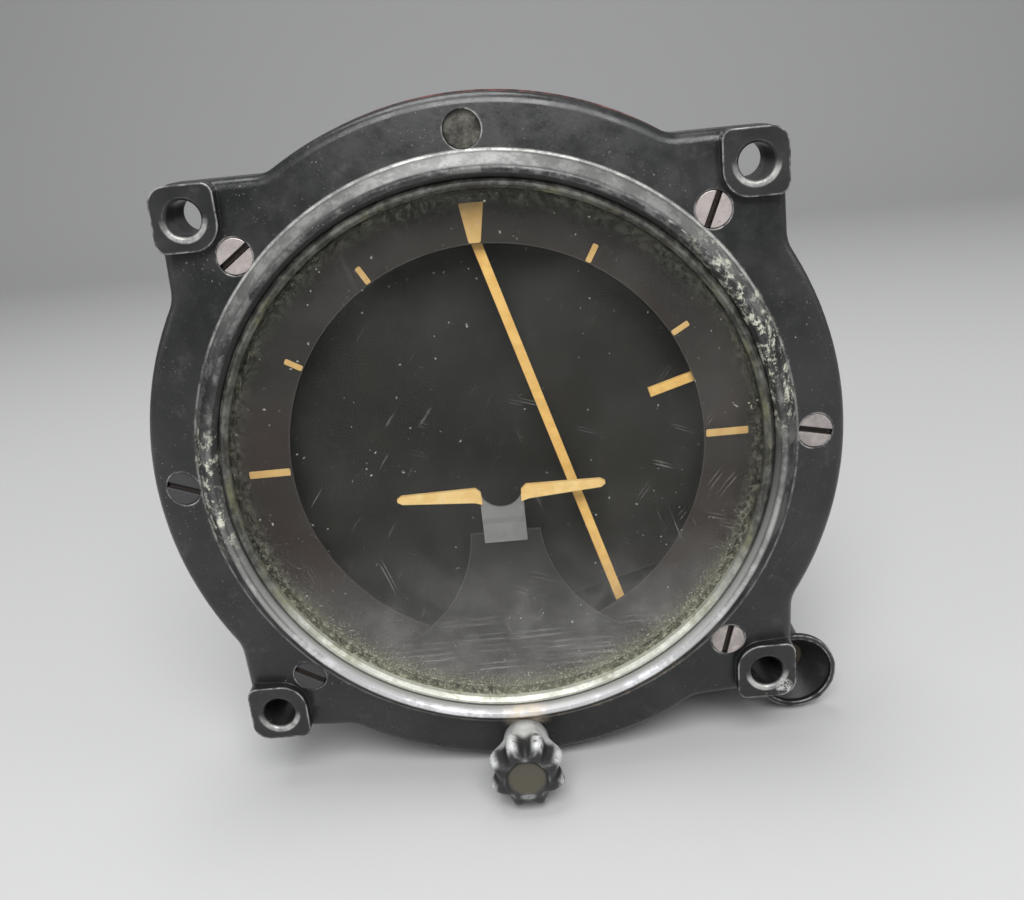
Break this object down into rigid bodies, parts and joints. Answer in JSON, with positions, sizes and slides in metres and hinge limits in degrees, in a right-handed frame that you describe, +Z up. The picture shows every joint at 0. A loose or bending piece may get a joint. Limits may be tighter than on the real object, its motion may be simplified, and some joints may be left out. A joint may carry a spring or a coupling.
{
  "type": "attitude indicator",
  "caption": "Round panel-mount gyro horizon with square lugs, glass window, tumbled horizon bar and bank index, bottom caging knob and air-driven gyro.",
  "frame": {"origin": "centre of the four screw holes, on the plane of the lug faces that meet the panel", "axes": "+Y runs from the dial to the back of the case, +Z is up on the dial, +X is to the right of a reader facing the dial"},
  "size_m": [0.1361, 0.1775, 0.1366],
  "materials": {
    "black_cast": "worn satin black over cast light alloy",
    "ring_metal": "worn black over light alloy",
    "clear_glass": "clear, scratched and dusty",
    "black_rubber": "matte",
    "mask_paint": "matte dark grey",
    "shield_paint": "satin dark grey",
    "cream_paint": "aged cream paint",
    "disc_paint": "matte black",
    "steel_screw": "plated, dulled",
    "seal_compound": "hard dark compound",
    "red_gasket": "red-brown sheet",
    "brass_part": "dull",
    "black_tube": "satin black",
    "bare_aluminium": "machined",
    "bearing_steel": "ground",
    "knob_metal": "black, worn to bare metal on the ridges"
  },
  "bodies": {
    "case": {"bezel_frame": "black_cast", "retaining_ring": "ring_metal", "cover_glass": "clear_glass", "glass_gasket": "black_rubber", "dial_mask": "mask_paint", "mask_ring": "mask_paint", "lower_shield": "shield_paint", "airplane_bracket": "shield_paint", "airplane_wings": "cream_paint", "bezel_screws": "steel_screw", "seal_plug": "seal_compound", "frame_gasket": "red_gasket", "case_body": "black_cast", "rear_gasket": "red_gasket", "rear_cover": "black_cast", "rear_screws": "steel_screw", "suction_fitting": "brass_part", "inlet_elbow": "black_tube", "inlet_screen": "brass_part", "bearing_arm": "bare_aluminium", "arm_screws": "steel_screw", "front_bearing": "bearing_steel", "rear_bearing": "bearing_steel", "caging_bush": "brass_part", "shaft_packing": "black_rubber", "plunger_guide": "brass_part"},
    "gimbal": {"gimbal_frame": "bare_aluminium", "horizon_disc": "disc_paint", "bank_index": "cream_paint", "pitch_bearings": "bearing_steel", "balance_weights": "brass_part", "arm_pivot_screw": "steel_screw"},
    "gyro": {"rotor_housing": "bare_aluminium", "housing_cover": "bare_aluminium", "vane_chamber": "bare_aluminium", "spin_bearings": "bearing_steel", "housing_screws": "steel_screw", "pitch_pivots": "bearing_steel", "guide_pin": "bearing_steel"},
    "gyro_rotor": {"rotor": "brass_part", "rotor_shaft": "bearing_steel"},
    "pitch_vanes": {"vanes_pitch": "brass_part"},
    "roll_vanes": {"vanes_roll": "brass_part"},
    "bar": {"horizon_bar": "cream_paint", "bar_arm": "bare_aluminium", "bar_counterweight": "brass_part"},
    "knob": {"caging_knob": "knob_metal", "caging_shaft": "bearing_steel", "caging_cam": "bearing_steel"},
    "plunger": {"caging_plunger": "bearing_steel"}
  },
  "joints": [
    {"name": "gimbal_roll", "type": "hinge", "parent": "case", "child": "gimbal", "pos_m": [0, 0, 0], "axis": [0, 1, 0], "range_deg": [-173.7, 26.3]},
    {"name": "gyro_pitch", "type": "hinge", "parent": "gimbal", "child": "gyro", "pos_m": [0, 0.075, 0], "axis": [0.2807, 0, -0.9598], "range_deg": [-36.9, 83.1]},
    {"name": "rotor_spin", "type": "hinge", "parent": "gyro", "child": "gyro_rotor", "pos_m": [0, 0.075, 0], "axis": [0.8828, 0.3923, 0.2582], "continuous": true},
    {"name": "pitch_vanes_swing", "type": "hinge", "parent": "gyro", "child": "pitch_vanes", "pos_m": [-0.0234, 0.0646, -0.00684], "axis": [0.2807, 0, -0.9598], "range_deg": [-5, 5]},
    {"name": "roll_vanes_swing", "type": "hinge", "parent": "gyro", "child": "roll_vanes", "pos_m": [-0.02604, 0.06343, -0.00762], "axis": [-0.3766, 0.9198, -0.1101], "range_deg": [-5, 5]},
    {"name": "bar_tilt", "type": "hinge", "parent": "gimbal", "child": "bar", "pos_m": [0, 0.112, 0], "axis": [0.2807, 0, -0.9598], "range_deg": [-10, 22]},
    {"name": "knob_turn", "type": "hinge", "parent": "case", "child": "knob", "pos_m": [0, 0, -0.0608], "axis": [0, 1, 0], "range_deg": [0, 120]},
    {"name": "plunger_lift", "type": "slide", "parent": "case", "child": "plunger", "axis": [0, 0, 1], "range_m": [0, 0.0024]}
  ],
  "couplings": [
    {"joint": "bar_tilt", "follows": "gyro_pitch", "ratio": 0.262},
    {"joint": "plunger_lift", "follows": "knob_turn", "m_per_rad": 0.0011459}
  ]
}
